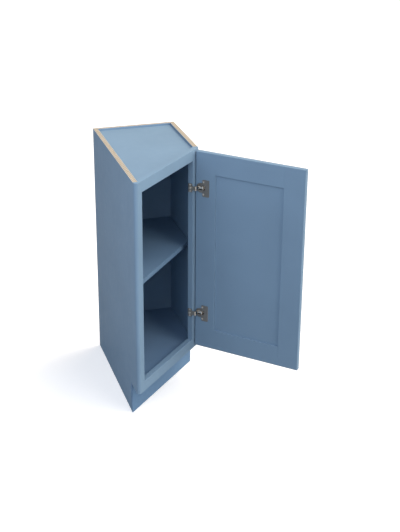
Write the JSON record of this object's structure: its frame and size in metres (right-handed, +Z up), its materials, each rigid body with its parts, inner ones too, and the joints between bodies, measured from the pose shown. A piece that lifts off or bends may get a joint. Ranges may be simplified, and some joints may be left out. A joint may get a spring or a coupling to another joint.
{
  "type": "angled base end cabinet",
  "caption": "Kitchen base end cabinet with a front cut at 45 degrees, a framed panel door on concealed hinges, an adjustable shelf and a toe space.",
  "frame": {"origin": "rear left outer corner of the carcass, on the floor", "axes": "+X to the right along the wall, +Y back into the wall, +Z up; the open side faces -Y, cut back towards +X"},
  "size_m": [0.5859, 0.6096, 0.8763],
  "materials": {
    "painted_carcass": "satin blue paint on plywood, raw plywood at the rim",
    "painted_frame": "satin blue paint on solid wood",
    "painted_door": "satin blue paint on solid wood",
    "hinge_steel": "nickel plated pressed steel",
    "fastener_steel": "zinc plated"
  },
  "bodies": {
    "cabinet": {"left_side_panel": "painted_carcass", "right_side_panel": "painted_carcass", "back_panel": "painted_carcass", "top_panel": "painted_carcass", "bottom_panel": "painted_carcass", "toe_board": "painted_carcass", "frame_left_stile": "painted_frame", "frame_right_stile": "painted_frame", "frame_top_rail": "painted_frame", "frame_bottom_rail": "painted_frame", "shelf": "painted_carcass", "shelf_pins": "fastener_steel", "upper_hinge_bracket": "hinge_steel", "upper_hinge_bracket_screws": "fastener_steel", "upper_hinge_arm": "hinge_steel", "upper_hinge_adjusting_screw": "fastener_steel", "lower_hinge_bracket": "hinge_steel", "lower_hinge_bracket_screws": "fastener_steel", "lower_hinge_arm": "hinge_steel", "lower_hinge_adjusting_screw": "fastener_steel"},
    "door": {"door_hinge_stile": "painted_door", "door_free_stile": "painted_door", "door_top_rail": "painted_door", "door_bottom_rail": "painted_door", "door_panel": "painted_door", "upper_hinge_cup": "hinge_steel", "upper_hinge_pin": "hinge_steel", "upper_hinge_spring_housing": "hinge_steel", "upper_hinge_cup_screws": "fastener_steel", "lower_hinge_cup": "hinge_steel", "lower_hinge_pin": "hinge_steel", "lower_hinge_spring_housing": "hinge_steel", "lower_hinge_cup_screws": "fastener_steel"}
  },
  "joints": [
    {"name": "door_hinge", "type": "hinge", "parent": "cabinet", "child": "door", "pos_m": [0.29742, -0.32371, 0.5005], "axis": [0, 0, 1], "range_deg": [-90, 15]}
  ]
}
